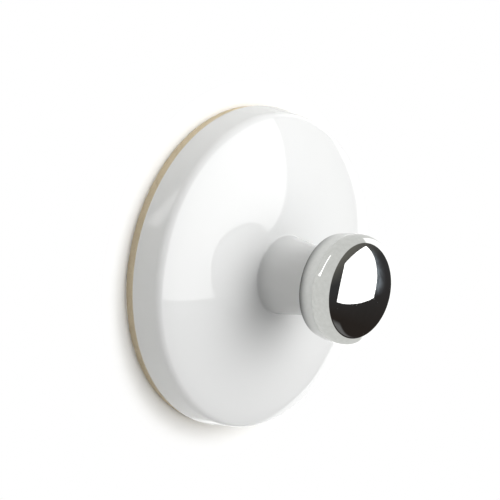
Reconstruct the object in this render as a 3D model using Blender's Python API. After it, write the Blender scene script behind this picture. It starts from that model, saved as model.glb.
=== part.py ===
"""Round adhesive wall hook: a white moulded plate with a tapered stem, a chrome knob and a foam pad.

Units are metres. The wall is the XZ plane and the hook stands out along -Y, with +Z up.
The origin is the centre of the pad's wall face. Every piece is turned about its own +Z axis, where
z is the depth away from the wall, and one empty on the wall turns that axis to -Y.
"""

import math

import bmesh
import bpy

MM = 0.001

# Fit between neighbouring pieces
SEAT_GAP = 0.3 * MM
STEM_SEAT_CLEARANCE = 0.25 * MM
SCREW_CLEARANCE = 0.3 * MM

# Foam pad
PAD_THICKNESS = 1.6 * MM
PAD_INSET = 0.35 * MM
PAD_EDGE_BREAK = 0.15 * MM

# Plate outside: drafted rim, rounded edge, shoulder, shallow round dome and a flat land round the stem
PLATE_RADIUS = 30.0 * MM
PLATE_LAND_HEIGHT = 9.95 * MM
LAND_RADIUS = 8.2 * MM
DOME_RADIUS = 57.0 * MM
SHOULDER_WIDTH = 4.2 * MM
SHOULDER_RADIUS = 22.0 * MM
RIM_DRAFT = 0.55 * MM
RIM_EDGE_RADIUS = 1.7 * MM
REAR_EDGE_BREAK = 0.2 * MM

# Plate inside: walls, concentric rings and radial ribs
FACE_WALL = 2.2 * MM
RIM_WALL = 2.2 * MM
RING_WALL = 1.6 * MM
RING_COUNT = 2
BOSS_RADIUS = 7.3 * MM
RIB_COUNT = 8
RIB_ROOT_WALL = 1.4 * MM
RIB_EDGE_WALL = 1.0 * MM
RIB_RECESS = 0.5 * MM
GROOVE_DRAFT = 0.12 * MM

# Stem
STEM_LENGTH = 11.8 * MM
STEM_BASE_RADIUS = 7.33 * MM
STEM_END_RADIUS = 5.6 * MM
STEM_FILLET = 0.35 * MM

# Knob
KNOB_BACK_RADIUS = 9.53 * MM
KNOB_BACK_HEIGHT = 4.71 * MM
# Radius of curvature of the knob's front, from its middle to its widest ring at equal steps of slope
KNOB_FRONT_CURVE = (26.6 * MM, 14.8 * MM, 7.7 * MM, 4.6 * MM, 3.4 * MM, 3.05 * MM, 3.0 * MM)
KNOB_BACK_EDGE_BREAK = 0.2 * MM
KNOB_SEAT_DEPTH = 1.2 * MM
KNOB_THREAD_DEPTH = 7.6 * MM

# Fixing screw
SCREW_RADIUS = 2.0 * MM
SCREW_LENGTH = 22.0 * MM
SCREW_POINT = 0.5 * MM
SCREW_HEAD_RADIUS = 4.0 * MM
SCREW_HEAD_HEIGHT = 2.6 * MM
SCREW_HEAD_SIDE = 1.1 * MM
SCREW_HEAD_RECESS = 0.4 * MM
CROSS_WIDTH = 1.0 * MM
CROSS_SPAN = 4.4 * MM
CROSS_DEPTH = 1.5 * MM
CROSS_TAPER = 0.55

# Facets
PLATE_SEGMENTS = 96
KNOB_SEGMENTS = 72
SCREW_SEGMENTS = 32
EDGE_STEPS = 5
SHOULDER_STEPS = 3
DOME_STEPS = 10
GROOVE_STEPS = 3
RIB_STEPS = 4
FILLET_STEPS = 3
KNOB_BACK_STEPS = 5
KNOB_FRONT_STEPS = 14
CURVE_SUBSTEPS = 20
SMOOTH_ANGLE = math.radians(30.0)

# Places that follow from the sizes above
PLATE_REAR = PAD_THICKNESS + SEAT_GAP
STEM_SLOPE = (STEM_BASE_RADIUS - STEM_END_RADIUS) / STEM_LENGTH
KNOB_BACK = PLATE_LAND_HEIGHT + STEM_LENGTH
STEM_TIP = KNOB_BACK + KNOB_SEAT_DEPTH - SEAT_GAP
SCREW_HOLE_RADIUS = SCREW_RADIUS + SCREW_CLEARANCE
COUNTERBORE_RADIUS = SCREW_HEAD_RADIUS + 2 * SCREW_CLEARANCE
COUNTERBORE_DEPTH = SCREW_HEAD_RECESS + SCREW_HEAD_HEIGHT + SEAT_GAP


def clear_scene():
    for obj in list(bpy.data.objects):
        bpy.data.objects.remove(obj, do_unlink=True)


def new_material(name, colour, roughness, metallic=0.0):
    material = bpy.data.materials.new(name)
    material.use_nodes = True
    shader = material.node_tree.nodes["Principled BSDF"]
    shader.inputs["Base Color"].default_value = (*colour, 1.0)
    shader.inputs["Roughness"].default_value = roughness
    shader.inputs["Metallic"].default_value = metallic
    return material


def wall_frame():
    """An empty on the wall whose +Z axis points away from the wall, along the row's -Y."""
    frame = bpy.data.objects.new("hook_axis", None)
    frame.rotation_euler = (math.pi / 2, 0.0, 0.0)
    bpy.context.scene.collection.objects.link(frame)
    return frame


def add_piece(name, mesh, frame, depth, material=None):
    """Places a turned piece on the hook's axis, with its own z = 0 at that depth from the wall."""
    obj = bpy.data.objects.new(name, mesh)
    bpy.context.scene.collection.objects.link(obj)
    obj.parent = frame
    obj.location = (0.0, 0.0, depth)
    if material:
        obj.data.materials.append(material)
    return obj


def turned_mesh(name, section, segments):
    """Spins a section of (radius, depth) points about Z. It is a closed loop, or starts and ends on the axis."""
    on_axis = section[0][0] == 0.0
    work = bmesh.new()
    verts = [work.verts.new((radius, 0.0, depth)) for radius, depth in section]
    pairs = list(zip(verts, verts[1:]))
    if not on_axis:
        pairs.append((verts[-1], verts[0]))
    edges = [work.edges.new(pair) for pair in pairs]
    bmesh.ops.spin(
        work,
        geom=verts + edges,
        cent=(0.0, 0.0, 0.0),
        axis=(0.0, 0.0, 1.0),
        angle=2 * math.pi,
        steps=segments,
        use_merge=True,
    )
    bmesh.ops.remove_doubles(work, verts=work.verts, dist=0.001 * MM)
    bmesh.ops.recalc_face_normals(work, faces=work.faces)
    mesh = bpy.data.meshes.new(name)
    work.to_mesh(mesh)
    work.free()
    mesh.shade_smooth()
    mesh.set_sharp_from_angle(angle=SMOOTH_ANGLE)
    return mesh


def arc(centre, radius, start, end, steps):
    """Points on a circle in the section plane; an angle of 0 points along the radius, 90 degrees outwards."""
    angles = [start + (end - start) * step / steps for step in range(steps + 1)]
    return [
        (centre[0] + radius * math.cos(a), centre[1] + radius * math.sin(a)) for a in angles
    ]


def shoulder_circle():
    """Radius at which the shoulder starts, and the centre of its circle, tangent to the dome there."""
    start = PLATE_RADIUS - SHOULDER_WIDTH
    run = start - LAND_RADIUS
    drop = DOME_RADIUS - math.sqrt(DOME_RADIUS**2 - run**2)
    entry = SHOULDER_RADIUS * run / DOME_RADIUS
    height = PLATE_LAND_HEIGHT - drop - math.sqrt(SHOULDER_RADIUS**2 - entry**2)
    return start, start - entry, height


def dome_height(radius):
    """Height of the plate's face: flat land, a round dome, then the tighter shoulder."""
    start, centre_radius, centre_height = shoulder_circle()
    if radius > start:
        return centre_height + math.sqrt(SHOULDER_RADIUS**2 - (radius - centre_radius) ** 2)
    run = max(radius - LAND_RADIUS, 0.0)
    return PLATE_LAND_HEIGHT - DOME_RADIUS + math.sqrt(DOME_RADIUS**2 - run**2)


def spread(start, end, steps):
    return [start + (end - start) * step / steps for step in range(steps + 1)]


def rim_section():
    """The break at the rear edge, the drafted rim and the rounded edge, tangent to the shoulder."""
    centre_radius = PLATE_RADIUS - RIM_DRAFT - RIM_EDGE_RADIUS
    shoulder_radius = shoulder_circle()[1]
    lean = math.asin((centre_radius - shoulder_radius) / (SHOULDER_RADIUS - RIM_EDGE_RADIUS))
    join_radius = centre_radius + RIM_EDGE_RADIUS * math.sin(lean)
    centre_height = dome_height(join_radius) - RIM_EDGE_RADIUS * math.cos(lean)
    points = [(PLATE_RADIUS - REAR_EDGE_BREAK, 0.0), (PLATE_RADIUS, REAR_EDGE_BREAK)]
    points += arc((centre_radius, centre_height), RIM_EDGE_RADIUS, 0.0, math.pi / 2 - lean, EDGE_STEPS)
    return points


def face_section(rim_end_radius):
    """The shoulder and the dome, from the rounded edge in to the land."""
    shoulder = spread(rim_end_radius, shoulder_circle()[0], SHOULDER_STEPS)[1:]
    dome = spread(shoulder[-1], LAND_RADIUS, DOME_STEPS)[1:]
    return [(radius, dome_height(radius)) for radius in shoulder + dome]


def stem_section():
    """The fillet at the root, the taper and the flat tip that enters the knob's seat."""
    lean = math.atan(STEM_SLOPE)
    centre_height = PLATE_LAND_HEIGHT + STEM_FILLET
    foot = STEM_BASE_RADIUS + STEM_FILLET * math.tan(math.pi / 4 - lean / 2)
    fillet = arc((foot, centre_height), STEM_FILLET, -math.pi / 2, -math.pi + lean, FILLET_STEPS)
    tip_radius = STEM_END_RADIUS - STEM_SLOPE * (STEM_TIP - KNOB_BACK)
    return fillet + [(tip_radius, STEM_TIP), (SCREW_HOLE_RADIUS, STEM_TIP)]


def groove_radii():
    """Inner and outer radius of each ring-shaped groove between the boss, the rings and the rim."""
    rim_inside = PLATE_RADIUS - RIM_WALL
    grooves = RING_COUNT + 1
    width = (rim_inside - BOSS_RADIUS - RING_COUNT * RING_WALL) / grooves
    starts = [BOSS_RADIUS + index * (width + RING_WALL) for index in range(grooves)]
    return [(start, start + width) for start in starts]


def rear_section():
    """The counterbore for the screw's head and the grooves that core the plate out from behind."""
    points = [
        (SCREW_HOLE_RADIUS, COUNTERBORE_DEPTH),
        (COUNTERBORE_RADIUS, COUNTERBORE_DEPTH),
        (COUNTERBORE_RADIUS, 0.0),
    ]
    for inner, outer in groove_radii():
        points.append((inner, 0.0))
        for radius in spread(inner + GROOVE_DRAFT, outer - GROOVE_DRAFT, GROOVE_STEPS):
            points.append((radius, dome_height(radius) - FACE_WALL))
        points.append((outer, 0.0))
    return points


def rib_mesh():
    """All radial ribs as one mesh. They start in the boss, cross the rings and end in the rim's wall."""
    inner = (COUNTERBORE_RADIUS + BOSS_RADIUS) / 2
    outer = PLATE_RADIUS - RIM_WALL / 2
    corners = [(inner, RIB_RECESS, RIB_EDGE_WALL / 2), (outer, RIB_RECESS, RIB_EDGE_WALL / 2)]
    for radius in spread(inner, outer, RIB_STEPS):
        corners.append((radius, dome_height(radius) - FACE_WALL / 2, RIB_ROOT_WALL / 2))
    work = bmesh.new()
    for index in range(RIB_COUNT):
        angle = 2 * math.pi * index / RIB_COUNT
        along = (math.cos(angle), math.sin(angle))
        across = (-along[1], along[0])
        rib = []
        for side in (-1, 1):
            for radius, depth, half in corners:
                x = radius * along[0] + side * half * across[0]
                y = radius * along[1] + side * half * across[1]
                rib.append(work.verts.new((x, y, depth)))
        bmesh.ops.convex_hull(work, input=rib)
    bmesh.ops.recalc_face_normals(work, faces=work.faces)
    mesh = bpy.data.meshes.new("rib_tool")
    work.to_mesh(mesh)
    work.free()
    return mesh


def hide_tool(tool):
    tool.hide_render = True
    tool.display_type = "WIRE"


def add_boolean(obj, tool, operation):
    hide_tool(tool)
    modifier = obj.modifiers.new(tool.name, "BOOLEAN")
    modifier.operation = operation
    modifier.solver = "EXACT"
    modifier.object = tool


def make_wall_plate(frame):
    """Plate and stem in one moulding, with the ribs joined into its cored-out back."""
    rim = rim_section()
    section = rim + face_section(rim[-1][0]) + stem_section() + rear_section()
    mesh = turned_mesh("wall_plate", section, PLATE_SEGMENTS)
    material = new_material("white_gloss_moulding", (0.82, 0.83, 0.82), 0.18)
    plate = add_piece("wall_plate", mesh, frame, PLATE_REAR, material)
    ribs = add_piece("rib_tool", rib_mesh(), frame, PLATE_REAR)
    add_boolean(plate, ribs, "UNION")


def knob_curve_radius(slope):
    """Radius of curvature of the knob's front where it has this slope."""
    place = slope / (math.pi / 2) * (len(KNOB_FRONT_CURVE) - 1)
    index = min(int(place), len(KNOB_FRONT_CURVE) - 2)
    share = place - index
    return KNOB_FRONT_CURVE[index] ** (1 - share) * KNOB_FRONT_CURVE[index + 1] ** share


def knob_front_drops():
    """(radius, drop) of the knob's front from its middle to its widest ring."""
    count = KNOB_FRONT_STEPS * CURVE_SUBSTEPS
    turn = math.pi / 2 / count
    radius = 0.0
    drop = 0.0
    points = [(radius, drop)]
    for index in range(count):
        slope = (index + 0.5) * turn
        length = knob_curve_radius(slope) * turn
        radius += length * math.cos(slope)
        drop += length * math.sin(slope)
        if (index + 1) % CURVE_SUBSTEPS == 0:
            points.append((radius, drop))
    return points


def knob_back_section(widest):
    """The thread's blind hole, the stem's seat, the flat back and the side out to the widest ring."""
    seat_radius = STEM_END_RADIUS + STEM_SEAT_CLEARANCE
    side_height = KNOB_BACK_HEIGHT / math.sqrt(1 - (KNOB_BACK_RADIUS / widest) ** 2)
    points = [
        (0.0, KNOB_THREAD_DEPTH),
        (SCREW_HOLE_RADIUS, KNOB_THREAD_DEPTH),
        (SCREW_HOLE_RADIUS, KNOB_SEAT_DEPTH),
        (seat_radius, KNOB_SEAT_DEPTH),
        (seat_radius, 0.0),
        (KNOB_BACK_RADIUS - KNOB_BACK_EDGE_BREAK, 0.0),
    ]
    for height in spread(KNOB_BACK_EDGE_BREAK, KNOB_BACK_HEIGHT, KNOB_BACK_STEPS):
        below = (KNOB_BACK_HEIGHT - height) / side_height
        points.append((widest * math.sqrt(1 - below**2), height))
    return points


def knob_section():
    """The back and then the full, softly squared front, up to the middle of the front."""
    drops = knob_front_drops()
    widest, front_height = drops[-1]
    front = [(r, KNOB_BACK_HEIGHT + front_height - d) for r, d in reversed(drops[:-1])]
    return knob_back_section(widest) + front


def make_knob(frame):
    """Chrome-plated cast knob with a flat back, a seat for the stem and a blind threaded hole."""
    mesh = turned_mesh("knob", knob_section(), KNOB_SEGMENTS)
    material = new_material("chrome", (0.62, 0.62, 0.61), 0.04, 1.0)
    add_piece("knob", mesh, frame, PLATE_REAR + KNOB_BACK, material)


def screw_section():
    """Pan head with its crown at z = 0 and the plain shank behind it, up to the chamfered point."""
    crown = SCREW_HEAD_HEIGHT - SCREW_HEAD_SIDE
    shank_end = SCREW_HEAD_HEIGHT + SCREW_LENGTH
    points = [(0.0, 0.0)]
    for angle in spread(math.pi / 2, 0.0, EDGE_STEPS)[1:]:
        radius = SCREW_HEAD_RADIUS * math.cos(angle) ** 0.5
        points.append((radius, crown * (1 - math.sin(angle))))
    points += [
        (SCREW_HEAD_RADIUS, SCREW_HEAD_HEIGHT),
        (SCREW_RADIUS, SCREW_HEAD_HEIGHT),
        (SCREW_RADIUS, shank_end - SCREW_POINT),
        (SCREW_RADIUS - SCREW_POINT, shank_end),
        (0.0, shank_end),
    ]
    return points


def cross_outline(span):
    """The twelve corners of a cross with arms of equal width, in order round it."""
    half = CROSS_WIDTH / 2
    arm = [(half, half), (span / 2, half), (span / 2, -half)]
    corners = []
    for turn in range(4):
        angle = -turn * math.pi / 2
        for x, y in arm:
            corners.append(
                (x * math.cos(angle) - y * math.sin(angle), x * math.sin(angle) + y * math.cos(angle))
            )
    return corners


def cross_mesh():
    """The driver's recess: a cross whose arms get shorter towards the bottom of the recess."""
    work = bmesh.new()
    rings = []
    for depth, share in ((-CROSS_DEPTH, 1.0), (CROSS_DEPTH, CROSS_TAPER)):
        outline = cross_outline(CROSS_SPAN * share)
        rings.append([work.verts.new((x, y, depth)) for x, y in outline])
    low, high = rings
    work.faces.new(low)
    work.faces.new(high)
    for index in range(len(low)):
        work.faces.new((low[index - 1], low[index], high[index], high[index - 1]))
    bmesh.ops.recalc_face_normals(work, faces=work.faces)
    mesh = bpy.data.meshes.new("cross_tool")
    work.to_mesh(mesh)
    work.free()
    return mesh


def make_fixing_screw(frame):
    """Pan-head screw from behind, through the stem, that holds the knob. Its thread is left plain."""
    mesh = turned_mesh("fixing_screw", screw_section(), SCREW_SEGMENTS)
    material = new_material("zinc_plated_steel", (0.55, 0.56, 0.57), 0.35, 1.0)
    depth = PLATE_REAR + SCREW_HEAD_RECESS
    screw = add_piece("fixing_screw", mesh, frame, depth, material)
    cross = add_piece("cross_tool", cross_mesh(), frame, depth)
    add_boolean(screw, cross, "DIFFERENCE")


def make_adhesive_pad(frame):
    """Foam pad, a little smaller than the plate, with its edges just broken."""
    radius = PLATE_RADIUS - PAD_INSET
    section = [
        (0.0, 0.0),
        (radius - PAD_EDGE_BREAK, 0.0),
        (radius, PAD_EDGE_BREAK),
        (radius, PAD_THICKNESS - PAD_EDGE_BREAK),
        (radius - PAD_EDGE_BREAK, PAD_THICKNESS),
        (0.0, PAD_THICKNESS),
    ]
    mesh = turned_mesh("adhesive_pad", section, PLATE_SEGMENTS)
    material = new_material("tan_foam", (0.36, 0.29, 0.18), 0.85)
    add_piece("adhesive_pad", mesh, frame, 0.0, material)


def main():
    clear_scene()
    frame = wall_frame()
    make_adhesive_pad(frame)
    make_wall_plate(frame)
    make_knob(frame)
    make_fixing_screw(frame)


main()
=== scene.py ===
import math

import bmesh
import bpy
from mathutils import Matrix, Vector, noise


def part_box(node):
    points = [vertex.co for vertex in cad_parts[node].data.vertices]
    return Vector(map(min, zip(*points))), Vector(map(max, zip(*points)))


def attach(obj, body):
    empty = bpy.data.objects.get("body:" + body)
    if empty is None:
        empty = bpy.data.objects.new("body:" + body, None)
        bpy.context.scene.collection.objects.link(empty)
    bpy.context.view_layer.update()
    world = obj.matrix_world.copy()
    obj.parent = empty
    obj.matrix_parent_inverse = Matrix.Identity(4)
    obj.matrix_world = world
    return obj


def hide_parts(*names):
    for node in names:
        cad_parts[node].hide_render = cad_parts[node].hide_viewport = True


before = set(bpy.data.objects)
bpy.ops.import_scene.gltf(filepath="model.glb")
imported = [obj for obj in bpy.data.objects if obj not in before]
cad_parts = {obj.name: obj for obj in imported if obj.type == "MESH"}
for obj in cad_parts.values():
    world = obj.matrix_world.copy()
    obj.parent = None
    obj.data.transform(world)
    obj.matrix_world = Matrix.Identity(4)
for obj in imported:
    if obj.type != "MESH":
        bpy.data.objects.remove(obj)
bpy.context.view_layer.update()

MM = 0.001

# Sizes that the finer meshes share with the solids
PAD_RADIUS = (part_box("adhesive_pad")[1].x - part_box("adhesive_pad")[0].x) / 2
PLATE_RADIUS = (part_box("wall_plate")[1].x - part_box("wall_plate")[0].x) / 2
PLATE_REAR = -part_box("wall_plate")[1].y
KNOB_BACK = -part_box("knob")[1].y
LAND_HEIGHT = 9.95 * MM
LAND_RADIUS = 8.2 * MM
DOME_RADIUS = 57.0 * MM
SHOULDER_WIDTH = 4.2 * MM
SHOULDER_RADIUS = 22.0 * MM
RIM_DRAFT = 0.55 * MM
RIM_EDGE_RADIUS = 1.7 * MM
REAR_EDGE_RADIUS = 0.2 * MM
FACE_WALL = 2.2 * MM
RIM_WALL = 2.2 * MM
RING_WALL = 1.6 * MM
RING_COUNT = 2
BOSS_RADIUS = 7.3 * MM
GROOVE_DRAFT = 0.12 * MM
RIB_COUNT = 8
RIB_ROOT_WALL = 1.4 * MM
RIB_EDGE_WALL = 1.0 * MM
RIB_RECESS = 0.5 * MM
STEM_BASE_RADIUS = 7.33 * MM
STEM_END_RADIUS = 5.6 * MM
STEM_FILLET = 0.35 * MM
STEM_TIP_GAP = 0.3 * MM
KNOB_SEAT_DEPTH = 1.2 * MM
KNOB_SEAT_RADIUS = 5.85 * MM
KNOB_THREAD_DEPTH = 7.6 * MM
KNOB_BACK_RADIUS = 9.53 * MM
KNOB_BACK_HEIGHT = 4.71 * MM
KNOB_FRONT_CURVE = (26.6 * MM, 14.8 * MM, 7.7 * MM, 4.6 * MM, 3.4 * MM, 3.05 * MM, 3.0 * MM)
KNOB_BACK_EDGE_RADIUS = 0.2 * MM
KNOB_BACK_EDGE_END = math.radians(-12.0)
SCREW_HOLE_RADIUS = 2.3 * MM
COUNTERBORE_RADIUS = 4.6 * MM
COUNTERBORE_DEPTH = 3.3 * MM

# Cut edge of the foam: the rounding at its two faces and how far the edge wanders in and out
PAD_LIP = 0.12 * MM
PAD_WANDER = 0.045 * MM
PAD_WAVE = 900.0
PAD_RIPPLE = 2600.0
PAD_RIPPLE_SHARE = 0.6

# Fineness of the turned meshes
TURN_SEGMENTS = 256
PAD_SEGMENTS = 512
REAR_EDGE_STEPS = 6
RIM_EDGE_STEPS = 20
SHOULDER_STEPS = 14
DOME_STEPS = 40
FILLET_STEPS = 8
GROOVE_STEPS = 8
RIB_STEPS = 8
PAD_EDGE_STEPS = 10
KNOB_SIDE_STEPS = 24
KNOB_FRONT_STEPS = 400
KNOB_MIDDLE_STEPS = 60
KNOB_OUTER_STRIDE = 5
SMOOTH_ANGLE = math.radians(30.0)

# Materials. A noise is its scale and detail and, where they aren't the usual 0.5, its roughness.
# Two tints, or two degrees of roughness, are the ends between which a noise goes
MOULDING_TINTS = ((0.782, 0.787, 0.782), (0.798, 0.803, 0.798))
MOULDING_TINT_NOISE = (60.0, 3.0)
MOULDING_ROUGHNESS = (0.006, 0.02)
MOULDING_GLOSS_NOISE = (350.0, 3.0)
MOULDING_WAVE_NOISE = (140.0, 2.0)
MOULDING_WAVE_HEIGHT = 0.002 * MM
MOULDING_IOR = 1.45
PLATING_TINTS = ((0.600, 0.605, 0.588), (0.660, 0.665, 0.650))
PLATING_CLOUD_NOISE = (1100.0, 5.0, 0.6)
PLATING_CLOUD_RANGE = (0.3, 0.7)
PLATING_ROUGHNESS = (0.010, 0.045)
PLATING_GLOSS_NOISE = (900.0, 4.0, 0.7)
PLATING_GRAIN_NOISE = (1500.0, 3.0, 0.6)
PLATING_GRAIN_HEIGHT = 0.0015 * MM
FOAM_TINTS = ((0.68, 0.56, 0.38), (0.84, 0.73, 0.53))
FOAM_TINT_NOISE = (1300.0, 4.0, 0.7)
FOAM_ROUGHNESS = 0.9
FOAM_CELL_NOISE = (3500.0, 4.0, 0.7)
FOAM_CELL_HEIGHT = 0.15 * MM
STEEL_TINTS = ((0.48, 0.49, 0.50), (0.60, 0.61, 0.62))
STEEL_TINT_NOISE = (500.0, 3.0)
STEEL_ROUGHNESS = (0.25, 0.4)
STEEL_GLOSS_NOISE = (1200.0, 3.0)

# Painted shade on the knob's plating along its back edge, standing in for the dark reflection of the
# shaded plate and stem. The two insets from the
# # knob's back radius are where it begins and where it is full
PAINTED_SHADE_WIDTH = 2.6 * MM
PAINTED_SHADE_STRENGTH = 0.97
PAINTED_SHADE_INSETS = (0.6 * MM, 0.2 * MM)
PAINTED_SHADE_COLOUR = (0.03, 0.03, 0.03)

# Camera, found from the outlines in the 500 by 500 photograph
IMAGE_PIXELS = 500
SENSOR_WIDTH = 36.0
FOCAL_PIXELS = 3535.2
CAMERA_AZIMUTH = -48.666
CAMERA_ELEVATION = 13.724
CAMERA_ROLL = math.radians(0.581)
CAMERA_DISTANCE = 655.07 * MM
CAMERA_AIM = (1.926 * MM, 0.0, 2.677 * MM)
CAMERA_CLIP_START = 0.01
CAMERA_CLIP_END = 10.0

# What the gloss and the chrome show: a softbox close by, and a studio drawn on a dome round it all.
# The softbox's corners are (azimuth, elevation) in degrees, where azimuth 0 is straight out along -Y
SOFTBOX_CORNERS = ((-15.7, -13.2), (42.7, -14.2), (53.7, 31.7), (-1.6, 31.6))
SOFTBOX_DISTANCE = 0.18
SOFTBOX_RADIANCE = 2.6
STUDIO_RADIUS = 0.5
STUDIO_SUBDIVISIONS = 5

# The studio's parts are bounded by planes, each given by an axis and by where along it the part
# starts, in radii of the dome. A pair of numbers is where a part's edge begins and ends
UP = (0.0, 0.0, 1.0)
ACROSS = (1.0, 0.0, 0.0)
PALE_WALLS = (0.885, 0.89, 0.875)

# The dark space in front of the hook
DARK_AXIS = (0.327, -1.0, -0.079)
DARK_START = 0.474
DARK_SOFTNESS = 0.012
DARK_LOW = (0.032, 0.026, 0.023)
DARK_MIDDLE = (0.050, 0.050, 0.052)
DARK_TOP = (0.175, 0.170, 0.152)
DARK_MIDDLE_HEIGHTS = (-0.6, 0.0)
DARK_TOP_HEIGHTS = (0.15, 0.75)

# The streaked blue glow beside the softbox
BLUE_GLOW = (0.30, 0.335, 0.375)
BLUE_AXIS = (0.588, 0.809, 0.0)
BLUE_START = (-0.25, -0.15)
BLUE_FALL = (0.0, 0.28)
BLUE_BOTTOM = (-0.26, -0.16)
BLUE_TOP = (0.32, 0.45)
STREAK_NOISE = (14.0, 3.0)
STREAK_RANGE = (0.35, 0.6)
STREAK_LEAST = 0.55

# The faint glow low in the dark space
LOW_GLOW = (0.20, 0.198, 0.20)
LOW_AXIS = (-0.703, 1.0, 0.333)
LOW_START = -0.922
LOW_SOFTNESS = 0.03
LOW_TOP = (-0.77, -0.67)
LOW_BORDER = (0.05, 0.08)

# The brighter side on the right
BRIGHT_SIDE = (1.7, 1.7, 1.7)
BRIGHT_SOFTNESS = 0.02
BRIGHT_PLANES = (
    ((0.974, -0.056, -0.22), 0.651),
    ((0.0, -1.0, -0.5), -0.39),
    (UP, -0.72),
)

# The thin lamp
TUBE_RADIANCE = (3.2, 3.2, 3.2)
TUBE_AXIS = (0.0, 1.0, 0.32)
TUBE_NEAR_SIDE = (0.675, 0.695)
TUBE_FAR_SIDE = (0.745, 0.765)
TUBE_BOTTOM = (0.40, 0.44)
TUBE_TOP = (0.87, 0.91)
TUBE_RIGHT = (-0.25, -0.20)

# What lights the hook: soft lobes of light, each with its direction and the radiance in its middle.
# The last one comes from behind the wall and lights only the pad's hidden back
LIGHT_SHARPNESS = 10.0
LIGHT_LOBES = (
    ((0.353, -0.917, 0.185), 3.64),
    ((0.323, -0.761, 0.563), 1.82),
    ((0.108, -0.980, -0.169), 0.75),
    ((-0.157, -0.886, -0.436), 0.69),
    ((-0.200, -0.855, 0.479), 0.32),
    ((-0.306, -0.948, 0.081), 0.28),
    ((0.200, 0.900, 0.350), 3.80),
)

# Wall and floor of the picture. Going out from the shadow's centre, the wall's soft shadow turns
# to plain white between the two distances of SHADOW_FADE
WALL_PAINT = (0.93, 0.926, 0.908)
WALL_OVERLAP = 0.15 * MM
WALL_RINGS = (0.05, 0.2, 0.9)
WALL_SEGMENTS = 128
WALL_CLEARANCE = 0.02 * MM
SHADOW_CENTRE = (-0.4 * MM, 0.0, -1.0 * MM)
SHADOW_FADE = (31.5 * MM, 35.5 * MM)
FLOOR_PAINT = (0.86, 0.86, 0.85)
FLOOR_WHITENESS = 0.85
FLOOR_SIZE = 3.0
FLOOR_HEIGHT = -0.35


def spread(start, end, steps):
    return [start + (end - start) * step / steps for step in range(steps + 1)]


def arc(centre, radius, start, end, steps):
    return [
        (centre[0] + radius * math.cos(a), centre[1] + radius * math.sin(a))
        for a in spread(start, end, steps)
    ]


def link(name, mesh):
    obj = bpy.data.objects.new(name, mesh)
    bpy.context.scene.collection.objects.link(obj)
    return obj


def to_mesh(work, name):
    mesh = bpy.data.meshes.new(name)
    work.to_mesh(mesh)
    work.free()
    return mesh


def smooth(mesh):
    mesh.shade_smooth()
    mesh.set_sharp_from_angle(angle=SMOOTH_ANGLE)


def finish_mesh(work, name):
    bmesh.ops.recalc_face_normals(work, faces=work.faces)
    mesh = to_mesh(work, name)
    smooth(mesh)
    return mesh


def ring_of_verts(work, radius, depth, segments):
    """Vertices of a circle about the hook's axis, with depth along -Y."""
    ring = []
    for index in range(segments):
        angle = 2 * math.pi * index / segments
        ring.append(work.verts.new((radius * math.cos(angle), -depth, radius * math.sin(angle))))
    return ring


def turned_bmesh(section, segments=TURN_SEGMENTS):
    """Turns (radius, depth from the wall) points about the hook's axis, with depth along -Y."""
    work = bmesh.new()
    rings = []
    for radius, depth in section:
        if radius == 0.0:
            rings.append([work.verts.new((0.0, -depth, 0.0))])
        else:
            rings.append(ring_of_verts(work, radius, depth, segments))
    pairs = list(zip(rings, rings[1:]))
    if section[0][0] > 0.0:
        pairs.append((rings[-1], rings[0]))
    for first, second in pairs:
        for index in range(segments):
            corners = [
                first[index % len(first)],
                first[(index + 1) % len(first)],
                second[(index + 1) % len(second)],
                second[index % len(second)],
            ]
            unique = list(dict.fromkeys(corners))
            if len(unique) > 2:
                work.faces.new(unique)
    return work


def shoulder_circle():
    """Radius at which the shoulder starts, and the centre of its circle, tangent to the dome there."""
    start = PLATE_RADIUS - SHOULDER_WIDTH
    run = start - LAND_RADIUS
    drop = DOME_RADIUS - math.sqrt(DOME_RADIUS**2 - run**2)
    entry = SHOULDER_RADIUS * run / DOME_RADIUS
    return start, start - entry, LAND_HEIGHT - drop - math.sqrt(SHOULDER_RADIUS**2 - entry**2)


def dome_height(radius):
    start, centre_radius, centre_height = shoulder_circle()
    if radius > start:
        return centre_height + math.sqrt(SHOULDER_RADIUS**2 - (radius - centre_radius) ** 2)
    run = max(radius - LAND_RADIUS, 0.0)
    return LAND_HEIGHT - DOME_RADIUS + math.sqrt(DOME_RADIUS**2 - run**2)


def plate_outside():
    """(radius, depth from the plate's rear) over the rim, shoulder, dome, land, fillet and stem."""
    edge_radius = PLATE_RADIUS - RIM_DRAFT - RIM_EDGE_RADIUS
    shoulder_start, shoulder_centre, _ = shoulder_circle()
    turn = math.asin((edge_radius - shoulder_centre) / (SHOULDER_RADIUS - RIM_EDGE_RADIUS))
    join = edge_radius + RIM_EDGE_RADIUS * math.sin(turn)
    edge_height = dome_height(join) - RIM_EDGE_RADIUS * math.cos(turn)
    rear = (PLATE_RADIUS - REAR_EDGE_RADIUS, REAR_EDGE_RADIUS)
    points = arc(rear, REAR_EDGE_RADIUS, -math.pi / 2, 0.0, REAR_EDGE_STEPS)
    points += arc((edge_radius, edge_height), RIM_EDGE_RADIUS, 0.0, math.pi / 2 - turn, RIM_EDGE_STEPS)
    points += [(r, dome_height(r)) for r in spread(join, shoulder_start, SHOULDER_STEPS)[1:]]
    points += [(r, dome_height(r)) for r in spread(shoulder_start, LAND_RADIUS, DOME_STEPS)[1:]]
    length = KNOB_BACK - PLATE_REAR - LAND_HEIGHT
    slope = (STEM_BASE_RADIUS - STEM_END_RADIUS) / length
    lean = math.atan(slope)
    foot = STEM_BASE_RADIUS + STEM_FILLET * math.tan(math.pi / 4 - lean / 2)
    centre = (foot, LAND_HEIGHT + STEM_FILLET)
    points += arc(centre, STEM_FILLET, -math.pi / 2, -math.pi + lean, FILLET_STEPS)
    reach = KNOB_SEAT_DEPTH - STEM_TIP_GAP
    tip = LAND_HEIGHT + length + reach
    points += [(STEM_END_RADIUS - slope * reach, tip), (SCREW_HOLE_RADIUS, tip)]
    return points


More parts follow.
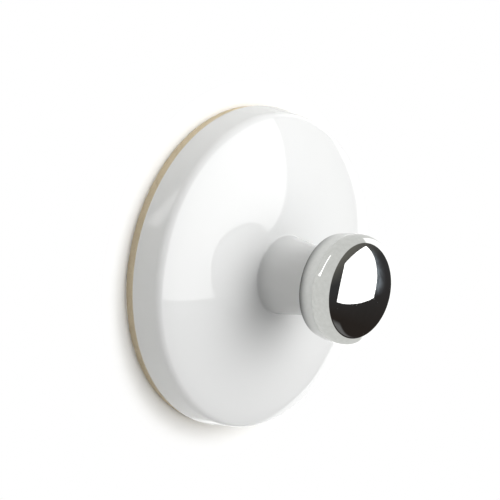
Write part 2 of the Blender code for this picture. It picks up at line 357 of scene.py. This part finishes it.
def plate_inside():
    """Screw hole, counterbore and the ring-shaped grooves of the plate's back."""
    points = [
        (SCREW_HOLE_RADIUS, COUNTERBORE_DEPTH),
        (COUNTERBORE_RADIUS, COUNTERBORE_DEPTH),
        (COUNTERBORE_RADIUS, 0.0),
    ]
    grooves = RING_COUNT + 1
    width = (PLATE_RADIUS - RIM_WALL - BOSS_RADIUS - RING_COUNT * RING_WALL) / grooves
    for index in range(grooves):
        inner = BOSS_RADIUS + index * (width + RING_WALL)
        outer = inner + width
        points.append((inner, 0.0))
        for radius in spread(inner + GROOVE_DRAFT, outer - GROOVE_DRAFT, GROOVE_STEPS):
            points.append((radius, dome_height(radius) - FACE_WALL))
        points.append((outer, 0.0))
    return points


def rib_tool():
    """The radial ribs of the plate's back, to be joined into it."""
    inner = (COUNTERBORE_RADIUS + BOSS_RADIUS) / 2
    outer = PLATE_RADIUS - RIM_WALL / 2
    corners = [(inner, RIB_RECESS, RIB_EDGE_WALL / 2), (outer, RIB_RECESS, RIB_EDGE_WALL / 2)]
    for radius in spread(inner, outer, RIB_STEPS):
        corners.append((radius, dome_height(radius) - FACE_WALL / 2, RIB_ROOT_WALL / 2))
    work = bmesh.new()
    for index in range(RIB_COUNT):
        angle = 2 * math.pi * index / RIB_COUNT
        along = Vector((math.cos(angle), 0.0, math.sin(angle)))
        across = Vector((-math.sin(angle), 0.0, math.cos(angle)))
        rib = []
        for side in (-1, 1):
            for radius, depth, half in corners:
                point = along * radius + across * side * half
                point.y = -(PLATE_REAR + depth)
                rib.append(work.verts.new(point))
        bmesh.ops.convex_hull(work, input=rib)
    return link("rib_tool", finish_mesh(work, "rib_tool"))


def join_solids(obj, tool):
    """Unions the tool into the object for good, then removes the tool."""
    modifier = obj.modifiers.new("join", "BOOLEAN")
    modifier.operation = "UNION"
    modifier.solver = "EXACT"
    modifier.object = tool
    graph = bpy.context.evaluated_depsgraph_get()
    mesh = bpy.data.meshes.new_from_object(obj.evaluated_get(graph))
    obj.modifiers.clear()
    obj.data = mesh
    bpy.data.objects.remove(tool)
    smooth(mesh)


def make_plate():
    section = [(r, PLATE_REAR + d) for r, d in plate_outside() + plate_inside()]
    plate = link("plate_and_stem", finish_mesh(turned_bmesh(section), "plate_and_stem"))
    join_solids(plate, rib_tool())
    return plate


def knob_front_drops():
    """(radius, drop) from the middle of the knob's front to its widest ring, at equal steps of slope."""
    turn = math.pi / 2 / KNOB_FRONT_STEPS
    radius = 0.0
    drop = 0.0
    points = [(radius, drop)]
    for index in range(KNOB_FRONT_STEPS):
        slope = (index + 0.5) * turn
        place = slope / (math.pi / 2) * (len(KNOB_FRONT_CURVE) - 1)
        first = min(int(place), len(KNOB_FRONT_CURVE) - 2)
        share = place - first
        bend = KNOB_FRONT_CURVE[first] ** (1 - share) * KNOB_FRONT_CURVE[first + 1] ** share
        radius += bend * turn * math.cos(slope)
        drop += bend * turn * math.sin(slope)
        points.append((radius, drop))
    return points


def make_knob():
    drops = knob_front_drops()
    widest, front_height = drops[-1]
    side_height = KNOB_BACK_HEIGHT / math.sqrt(1 - (KNOB_BACK_RADIUS / widest) ** 2)
    points = [
        (0.0, KNOB_THREAD_DEPTH),
        (SCREW_HOLE_RADIUS, KNOB_THREAD_DEPTH),
        (SCREW_HOLE_RADIUS, KNOB_SEAT_DEPTH),
        (KNOB_SEAT_RADIUS, KNOB_SEAT_DEPTH),
        (KNOB_SEAT_RADIUS, 0.0),
    ]
    edge = (KNOB_BACK_RADIUS - KNOB_BACK_EDGE_RADIUS, KNOB_BACK_EDGE_RADIUS)
    points += arc(edge, KNOB_BACK_EDGE_RADIUS, -math.pi / 2, KNOB_BACK_EDGE_END, FILLET_STEPS)
    for height in spread(KNOB_BACK_EDGE_RADIUS, KNOB_BACK_HEIGHT, KNOB_SIDE_STEPS)[1:]:
        below = (KNOB_BACK_HEIGHT - height) / side_height
        points.append((widest * math.sqrt(1 - below**2), height))
    shown = drops[:KNOB_MIDDLE_STEPS] + drops[KNOB_MIDDLE_STEPS::KNOB_OUTER_STRIDE][:-1]
    points += [(r, KNOB_BACK_HEIGHT + front_height - d) for r, d in reversed(shown)]
    section = [(r, KNOB_BACK + d) for r, d in points]
    return link("chrome_knob", finish_mesh(turned_bmesh(section), "chrome_knob"))


def make_pad():
    """Foam pad that fills the space up to the plate, with a slightly uneven cut edge."""
    section = [(0.0, 0.0), (PAD_RADIUS - PAD_LIP, 0.0)]
    section += [(PAD_RADIUS, depth) for depth in spread(PAD_LIP, PLATE_REAR - PAD_LIP, PAD_EDGE_STEPS)]
    section += [(PAD_RADIUS - PAD_LIP, PLATE_REAR), (0.0, PLATE_REAR)]
    work = turned_bmesh(section, PAD_SEGMENTS)
    for vert in work.verts:
        radius = math.hypot(vert.co.x, vert.co.z)
        if radius > PAD_RADIUS - 2 * PAD_LIP:
            ripple = PAD_RIPPLE_SHARE * noise.noise(vert.co * PAD_RIPPLE)
            pull = 1 - (PAD_WANDER * (1.0 + noise.noise(vert.co * PAD_WAVE) + ripple)) / radius
            vert.co.x *= pull
            vert.co.z *= pull
    return link("foam_pad", finish_mesh(work, "foam_pad"))


class Nodes:
    """A material's or a world's node tree, with short calls to add and join nodes."""

    def __init__(self, name, world=None):
        self.material = world or bpy.data.materials.new(name)
        self.material.use_nodes = True
        self.tree = self.material.node_tree
        self.tree.nodes.clear()
        self.output = self.add("ShaderNodeOutputWorld" if world else "ShaderNodeOutputMaterial")

    def add(self, kind, **settings):
        node = self.tree.nodes.new(kind)
        for key, value in settings.items():
            setattr(node, key, value)
        return node

    def join(self, source, target):
        self.tree.links.new(source, target)

    def show(self, shader):
        self.join(shader, self.output.inputs["Surface"])

    def place(self):
        return self.add("ShaderNodeTexCoord").outputs["Object"]

    def noise(self, scale, detail, roughness=0.5):
        node = self.add("ShaderNodeTexNoise")
        node.inputs["Scale"].default_value = scale
        node.inputs["Detail"].default_value = detail
        node.inputs["Roughness"].default_value = roughness
        self.join(self.place(), node.inputs["Vector"])
        return node.outputs["Fac"]

    def to_range(self, value, low, high, from_low=0.0, from_high=1.0):
        node = self.add("ShaderNodeMapRange")
        self.join(value, node.inputs["Value"])
        node.inputs["From Min"].default_value = from_low
        node.inputs["From Max"].default_value = from_high
        node.inputs["To Min"].default_value = low
        node.inputs["To Max"].default_value = high
        return node.outputs["Result"]

    def rise(self, value, start, end):
        """0 up to the start, 1 from the end on."""
        return self.to_range(value, 0.0, 1.0, start, end)

    def fall(self, value, start, end):
        """1 up to the start, 0 from the end on."""
        return self.to_range(value, 1.0, 0.0, start, end)

    def past(self, towards, axis, start, softness):
        """1 beyond the plane at the start along the axis, 0 before it."""
        return self.rise(self.along(towards, axis), start - softness, start + softness)

    def along(self, towards, axis):
        node = self.add("ShaderNodeVectorMath", operation="DOT_PRODUCT")
        self.join(towards, node.inputs[0])
        node.inputs[1].default_value = axis
        return node.outputs["Value"]

    def product(self, values):
        total = values[0]
        for value in values[1:]:
            node = self.add("ShaderNodeMath", operation="MULTIPLY")
            self.join(total, node.inputs[0])
            self.join(value, node.inputs[1])
            total = node.outputs["Value"]
        return total

    def scaled(self, value, factor, extra):
        """The value times the factor, plus the extra, which is a number or comes from a node."""
        node = self.add("ShaderNodeMath", operation="MULTIPLY_ADD")
        self.join(value, node.inputs[0])
        node.inputs[1].default_value = factor
        if isinstance(extra, float):
            node.inputs[2].default_value = extra
        else:
            self.join(extra, node.inputs[2])
        return node.outputs["Value"]

    def blend(self, share, first, second):
        """The first colour where the share is 0, the second where it is 1."""
        node = self.add("ShaderNodeMix", data_type="RGBA")
        self.join(share, node.inputs["Factor"])
        for socket, colour in (("A", first), ("B", second)):
            if isinstance(colour, tuple):
                node.inputs[socket].default_value = (*colour, 1.0)
            else:
                self.join(colour, node.inputs[socket])
        return node.outputs["Result"]

    def mix(self, share, first, second):
        """The first shader where the share is 0, the second where it is 1."""
        node = self.add("ShaderNodeMixShader")
        self.join(share, node.inputs["Fac"])
        self.join(first, node.inputs[1])
        self.join(second, node.inputs[2])
        return node.outputs["Shader"]

    def bump(self, height, distance):
        node = self.add("ShaderNodeBump")
        node.inputs["Distance"].default_value = distance
        node.inputs["Strength"].default_value = 1.0
        self.join(height, node.inputs["Height"])
        return node.outputs["Normal"]

    def principled(self):
        node = self.add("ShaderNodeBsdfPrincipled")
        self.show(node.outputs["BSDF"])
        return node

    def diffuse(self, colour):
        node = self.add("ShaderNodeBsdfDiffuse")
        node.inputs["Color"].default_value = (*colour, 1.0)
        return node.outputs["BSDF"]

    def background(self):
        node = self.add("ShaderNodeBackground")
        node.inputs["Color"].default_value = (1.0, 1.0, 1.0, 1.0)
        return node

    def camera_ray(self):
        return self.add("ShaderNodeLightPath").outputs["Is Camera Ray"]


def white_moulding():
    n = Nodes("white_moulding")
    shader = n.principled()
    tint = n.blend(n.noise(*MOULDING_TINT_NOISE), *MOULDING_TINTS)
    n.join(tint, shader.inputs["Base Color"])
    gloss = n.to_range(n.noise(*MOULDING_GLOSS_NOISE), *MOULDING_ROUGHNESS)
    n.join(gloss, shader.inputs["Roughness"])
    shader.inputs["IOR"].default_value = MOULDING_IOR
    wave = n.bump(n.noise(*MOULDING_WAVE_NOISE), MOULDING_WAVE_HEIGHT)
    n.join(wave, shader.inputs["Normal"])
    return n.material


def painted_shade_share(n):
    """How strongly the painted shade darkens the plating: most at the knob's back edge, less and less
    towards the front.
    """
    depth = n.along(n.place(), (0.0, -1.0, 0.0))
    near_back = n.to_range(depth, PAINTED_SHADE_STRENGTH, 0.0, KNOB_BACK, KNOB_BACK + PAINTED_SHADE_WIDTH)
    flat = n.add("ShaderNodeVectorMath", operation="MULTIPLY")
    n.join(n.place(), flat.inputs[0])
    flat.inputs[1].default_value = (1.0, 0.0, 1.0)
    radius = n.add("ShaderNodeVectorMath", operation="LENGTH")
    n.join(flat.outputs["Vector"], radius.inputs[0])
    side = n.rise(radius.outputs["Value"], *(KNOB_BACK_RADIUS - inset for inset in PAINTED_SHADE_INSETS))
    return n.product([near_back, near_back, side])


def chrome():
    n = Nodes("chrome")
    shader = n.principled()
    shader.inputs["Metallic"].default_value = 1.0
    cloudy = n.rise(n.noise(*PLATING_CLOUD_NOISE), *PLATING_CLOUD_RANGE)
    plating = n.blend(cloudy, *PLATING_TINTS)
    # Painted shade: the plating's colour darkens towards the knob's back edge
    n.join(n.blend(painted_shade_share(n), plating, PAINTED_SHADE_COLOUR), shader.inputs["Base Color"])
    gloss = n.to_range(n.noise(*PLATING_GLOSS_NOISE), *PLATING_ROUGHNESS)
    n.join(gloss, shader.inputs["Roughness"])
    grain = n.bump(n.noise(*PLATING_GRAIN_NOISE), PLATING_GRAIN_HEIGHT)
    n.join(grain, shader.inputs["Normal"])
    return n.material


def foam():
    n = Nodes("tan_foam")
    shader = n.principled()
    tint = n.blend(n.noise(*FOAM_TINT_NOISE), *FOAM_TINTS)
    n.join(tint, shader.inputs["Base Color"])
    shader.inputs["Roughness"].default_value = FOAM_ROUGHNESS
    cells = n.bump(n.noise(*FOAM_CELL_NOISE), FOAM_CELL_HEIGHT)
    n.join(cells, shader.inputs["Normal"])
    return n.material


def screw_steel():
    n = Nodes("screw_steel")
    shader = n.principled()
    shader.inputs["Metallic"].default_value = 1.0
    zinc = n.blend(n.noise(*STEEL_TINT_NOISE), *STEEL_TINTS)
    n.join(zinc, shader.inputs["Base Color"])
    gloss = n.to_range(n.noise(*STEEL_GLOSS_NOISE), *STEEL_ROUGHNESS)
    n.join(gloss, shader.inputs["Roughness"])
    return n.material


def direction(azimuth, elevation):
    azimuth = math.radians(azimuth)
    elevation = math.radians(elevation)
    level = math.cos(elevation)
    return Vector((math.sin(azimuth) * level, -math.cos(azimuth) * level, math.sin(elevation)))


def aim_matrix(back, roll):
    """Rotation whose +Z is back, with +X level before the roll."""
    back = back.normalized()
    right = Vector((0.0, 0.0, 1.0)).cross(back).normalized()
    up = back.cross(right)
    turned_right = right * math.cos(roll) + up * math.sin(roll)
    turned_up = up * math.cos(roll) - right * math.sin(roll)
    return Matrix((turned_right, turned_up, back)).transposed().to_4x4()


def make_camera():
    offset = Vector((0.0, -PLATE_REAR, 0.0))
    place = direction(CAMERA_AZIMUTH, CAMERA_ELEVATION) * CAMERA_DISTANCE + offset
    aim = Vector(CAMERA_AIM) + offset
    data = bpy.data.cameras.new("camera")
    data.sensor_width = SENSOR_WIDTH
    data.lens = FOCAL_PIXELS / IMAGE_PIXELS * SENSOR_WIDTH
    data.clip_start = CAMERA_CLIP_START
    data.clip_end = CAMERA_CLIP_END
    camera = bpy.data.objects.new("camera", data)
    bpy.context.scene.collection.objects.link(camera)
    camera.matrix_world = Matrix.Translation(place) @ aim_matrix(place - aim, CAMERA_ROLL)
    bpy.context.scene.camera = camera


def glow_material(name):
    n = Nodes(name)
    glow = n.add("ShaderNodeEmission")
    n.show(glow.outputs["Emission"])
    n.material.cycles.emission_sampling = "NONE"
    return n, glow


def only_in_gloss(obj):
    """The piece of the studio is seen only by reflections, and lights and shadows nothing."""
    obj.visible_camera = False
    obj.visible_diffuse = False
    obj.visible_shadow = False
    obj.visible_transmission = False


def make_softbox():
    work = bmesh.new()
    offset = Vector((0.0, -PLATE_REAR, 0.0))
    corners = [direction(*corner) * SOFTBOX_DISTANCE + offset for corner in SOFTBOX_CORNERS]
    work.faces.new([work.verts.new(corner) for corner in corners])
    mesh = to_mesh(work, "softbox")
    n, glow = glow_material("softbox_cloth")
    glow.inputs["Color"].default_value = (1.0, 1.0, 1.0, 1.0)
    glow.inputs["Strength"].default_value = SOFTBOX_RADIANCE
    mesh.materials.append(n.material)
    only_in_gloss(link("softbox", mesh))


def dark_space(n, towards, height):
    """The dark colours in front, with the blue glow and the low glow in them."""
    dark = n.blend(n.rise(height, *DARK_MIDDLE_HEIGHTS), DARK_LOW, DARK_MIDDLE)
    dark = n.blend(n.rise(height, *DARK_TOP_HEIGHTS), dark, DARK_TOP)
    beyond = n.along(towards, BLUE_AXIS)
    fading = n.fall(beyond, *BLUE_FALL)
    blue = [fading, fading, fading, n.rise(height, *BLUE_BOTTOM), n.fall(height, *BLUE_TOP)]
    blue.append(n.rise(beyond, *BLUE_START))
    blue.append(n.to_range(n.noise(*STREAK_NOISE), STREAK_LEAST, 1.0, *STREAK_RANGE))
    dark = n.blend(n.product(blue), dark, BLUE_GLOW)
    low = [n.past(towards, LOW_AXIS, LOW_START, LOW_SOFTNESS), n.fall(height, *LOW_TOP)]
    low.append(n.rise(n.along(towards, DARK_AXIS), *(DARK_START + border for border in LOW_BORDER)))
    return n.blend(n.product(low), dark, LOW_GLOW)


def pale_space(n, towards, height):
    """The pale walls all round, with the brighter side on the right and the thin lamp behind."""
    pale = n.add("ShaderNodeRGB").outputs["Color"]
    pale.default_value = (*PALE_WALLS, 1.0)
    sides = [n.past(towards, axis, start, BRIGHT_SOFTNESS) for axis, start in BRIGHT_PLANES]
    pale = n.blend(n.product(sides), pale, BRIGHT_SIDE)
    across = n.along(towards, TUBE_AXIS)
    tube = [n.rise(across, *TUBE_NEAR_SIDE), n.fall(across, *TUBE_FAR_SIDE)]
    tube += [n.rise(height, *TUBE_BOTTOM), n.fall(height, *TUBE_TOP)]
    tube.append(n.fall(n.along(towards, ACROSS), *TUBE_RIGHT))
    return n.blend(n.product(tube), pale, TUBE_RADIANCE)


def studio_material():
    n, glow = glow_material("studio")
    towards = n.place()
    height = n.along(towards, UP)
    inside = n.past(towards, DARK_AXIS, DARK_START, DARK_SOFTNESS)
    space = n.blend(inside, pale_space(n, towards, height), dark_space(n, towards, height))
    n.join(space, glow.inputs["Color"])
    return n.material


def make_studio():
    """The dome that only shiny surfaces see."""
    work = bmesh.new()
    bmesh.ops.create_icosphere(work, subdivisions=STUDIO_SUBDIVISIONS, radius=1.0)
    mesh = to_mesh(work, "studio_dome")
    mesh.materials.append(studio_material())
    dome = link("studio_dome", mesh)
    dome.location.y = -PLATE_REAR
    dome.scale = (STUDIO_RADIUS, STUDIO_RADIUS, STUDIO_RADIUS)
    only_in_gloss(dome)


def make_world():
    """White to the camera and, to matt surfaces, a few soft lobes of light."""
    world = bpy.data.worlds.new("light")
    bpy.context.scene.world = world
    world.cycles_visibility.glossy = False
    n = Nodes("light", world)
    towards = n.add("ShaderNodeTexCoord").outputs["Generated"]
    total = 0.0
    for axis, radiance in LIGHT_LOBES:
        facing = n.along(towards, Vector(axis).normalized())
        lobe = n.add("ShaderNodeMath", operation="EXPONENT")
        n.join(n.scaled(facing, LIGHT_SHARPNESS, -LIGHT_SHARPNESS), lobe.inputs[0])
        total = n.scaled(lobe.outputs["Value"], radiance, total)
    lit = n.background()
    n.join(total, lit.inputs["Strength"])
    white = n.background()
    n.show(n.mix(n.camera_ray(), lit.outputs["Background"], white.outputs["Background"]))


def wall_material():
    """White wall that shows the hook's soft shadow near it, is white beyond, and is clear from behind."""
    n = Nodes("wall_paint")
    away = n.add("ShaderNodeVectorMath", operation="DISTANCE")
    n.join(n.place(), away.inputs[0])
    away.inputs[1].default_value = SHADOW_CENTRE
    white_share = n.product([n.camera_ray(), n.rise(away.outputs["Value"], *SHADOW_FADE)])
    white = n.add("ShaderNodeEmission").outputs["Emission"]
    front = n.mix(white_share, n.diffuse(WALL_PAINT), white)
    behind = n.add("ShaderNodeNewGeometry").outputs["Backfacing"]
    n.show(n.mix(behind, front, n.add("ShaderNodeBsdfTransparent").outputs["BSDF"]))
    return n.material


def make_wall():
    """The wall is a wide ring with an open middle behind the pad, so that the pad's back can be seen."""
    work = bmesh.new()
    radii = (PAD_RADIUS - WALL_OVERLAP, *WALL_RINGS)
    rings = [ring_of_verts(work, radius, -WALL_CLEARANCE, WALL_SEGMENTS) for radius in radii]
    for first, second in zip(rings, rings[1:]):
        for index in range(WALL_SEGMENTS):
            after = (index + 1) % WALL_SEGMENTS
            work.faces.new((first[index], second[index], second[after], first[after]))
    mesh = to_mesh(work, "wall")
    wall = link("wall", mesh)
    if mesh.polygons[0].normal.y > 0:
        mesh.flip_normals()
    mesh.materials.append(wall_material())
    wall.visible_glossy = False


def floor_material():
    n = Nodes("floor_paint")
    white = n.add("ShaderNodeEmission").outputs["Emission"]
    share = n.to_range(n.camera_ray(), 0.0, FLOOR_WHITENESS)
    n.show(n.mix(share, n.diffuse(FLOOR_PAINT), white))
    return n.material


def make_floor():
    work = bmesh.new()
    bmesh.ops.create_grid(work, x_segments=1, y_segments=1, size=FLOOR_SIZE)
    mesh = to_mesh(work, "floor")
    mesh.materials.append(floor_material())
    floor = link("floor", mesh)
    floor.location.z = FLOOR_HEIGHT
    floor.visible_glossy = False
    floor.visible_diffuse = False
    floor.visible_shadow = False


def dress(obj, material, node):
    obj.data.materials.clear()
    obj.data.materials.append(material)
    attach(obj, "root")
    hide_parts(node)


def main():
    make_camera()
    make_world()
    make_softbox()
    make_studio()
    make_wall()
    make_floor()
    dress(make_plate(), white_moulding(), "wall_plate")
    dress(make_knob(), chrome(), "knob")
    pad = make_pad()
    dress(pad, foam(), "adhesive_pad")
    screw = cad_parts["fixing_screw"]
    screw.data.materials.clear()
    screw.data.materials.append(screw_steel())
    bpy.context.scene.view_settings.view_transform = "Standard"


main()
